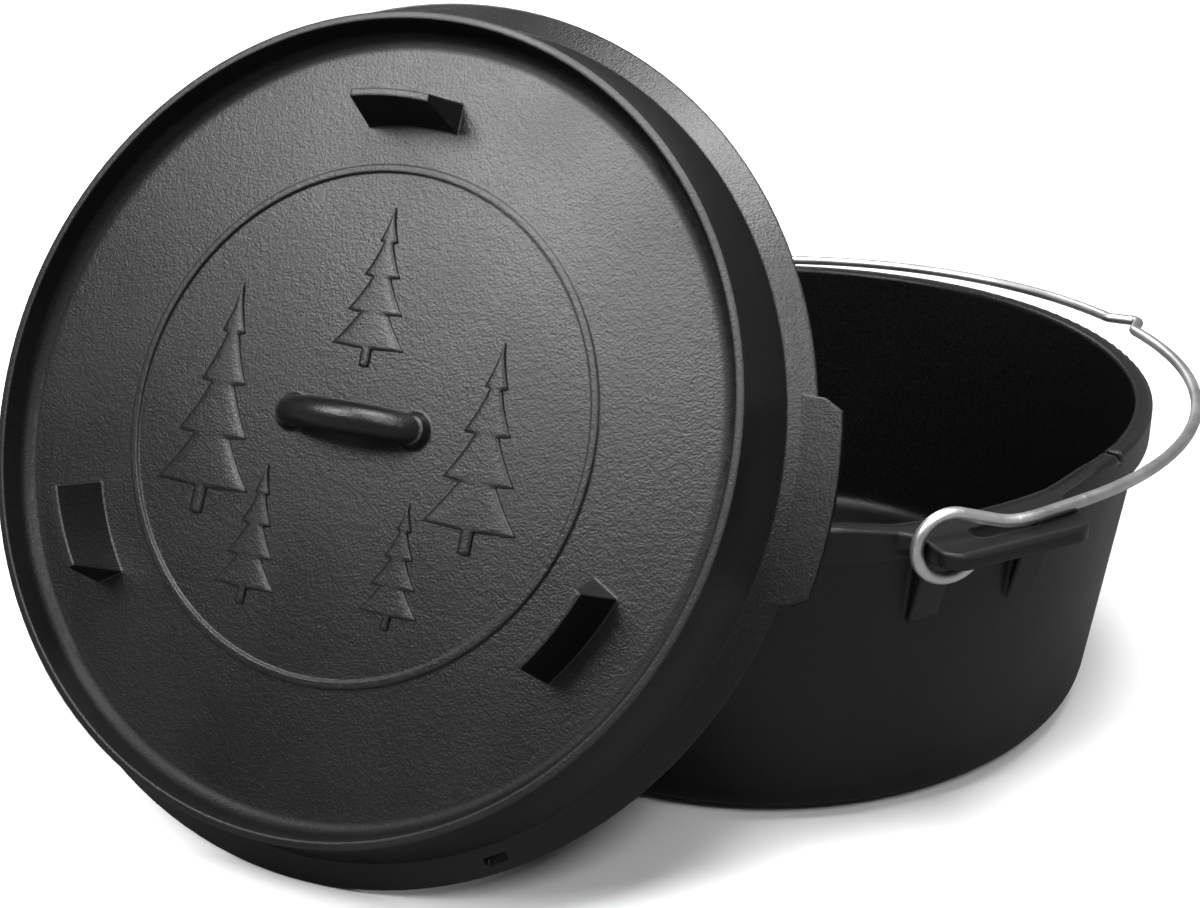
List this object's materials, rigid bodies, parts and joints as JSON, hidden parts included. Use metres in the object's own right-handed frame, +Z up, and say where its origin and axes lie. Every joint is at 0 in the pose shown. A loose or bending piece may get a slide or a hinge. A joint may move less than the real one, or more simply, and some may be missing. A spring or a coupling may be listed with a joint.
{
  "type": "camp dutch oven",
  "caption": "Deep round cast iron camp pot with slotted ears and a hooked wire bail, its footed lid with raised lip and loop leaning against the rim.",
  "frame": {"origin": "centre of the pot's flat bottom, on the floor", "axes": "+Z up along the pot's axis; the leaning lid faces -Y, and +X runs along the lid's level width"},
  "size_m": [0.4998, 0.4779, 0.321],
  "materials": {
    "iron": "seasoned matt black with a fine cast grain",
    "wire": "bright drawn wire"
  },
  "bodies": {
    "pot": {"pot": "iron"},
    "lid": {"lid": "iron"},
    "bail": {"bail": "wire"}
  },
  "joints": [
    {"name": "bail_swing", "type": "hinge", "parent": "pot", "child": "bail", "pos_m": [0, 0, 0.13735], "axis": [0.6507, -0.7593, 0], "range_deg": [0, 100]},
    {"name": "lid_tip", "type": "hinge", "parent": "pot", "child": "lid", "pos_m": [-0.1075, -0.31028, 0], "axis": [1, 0, 0], "range_deg": [0, 119.5]}
  ]
}
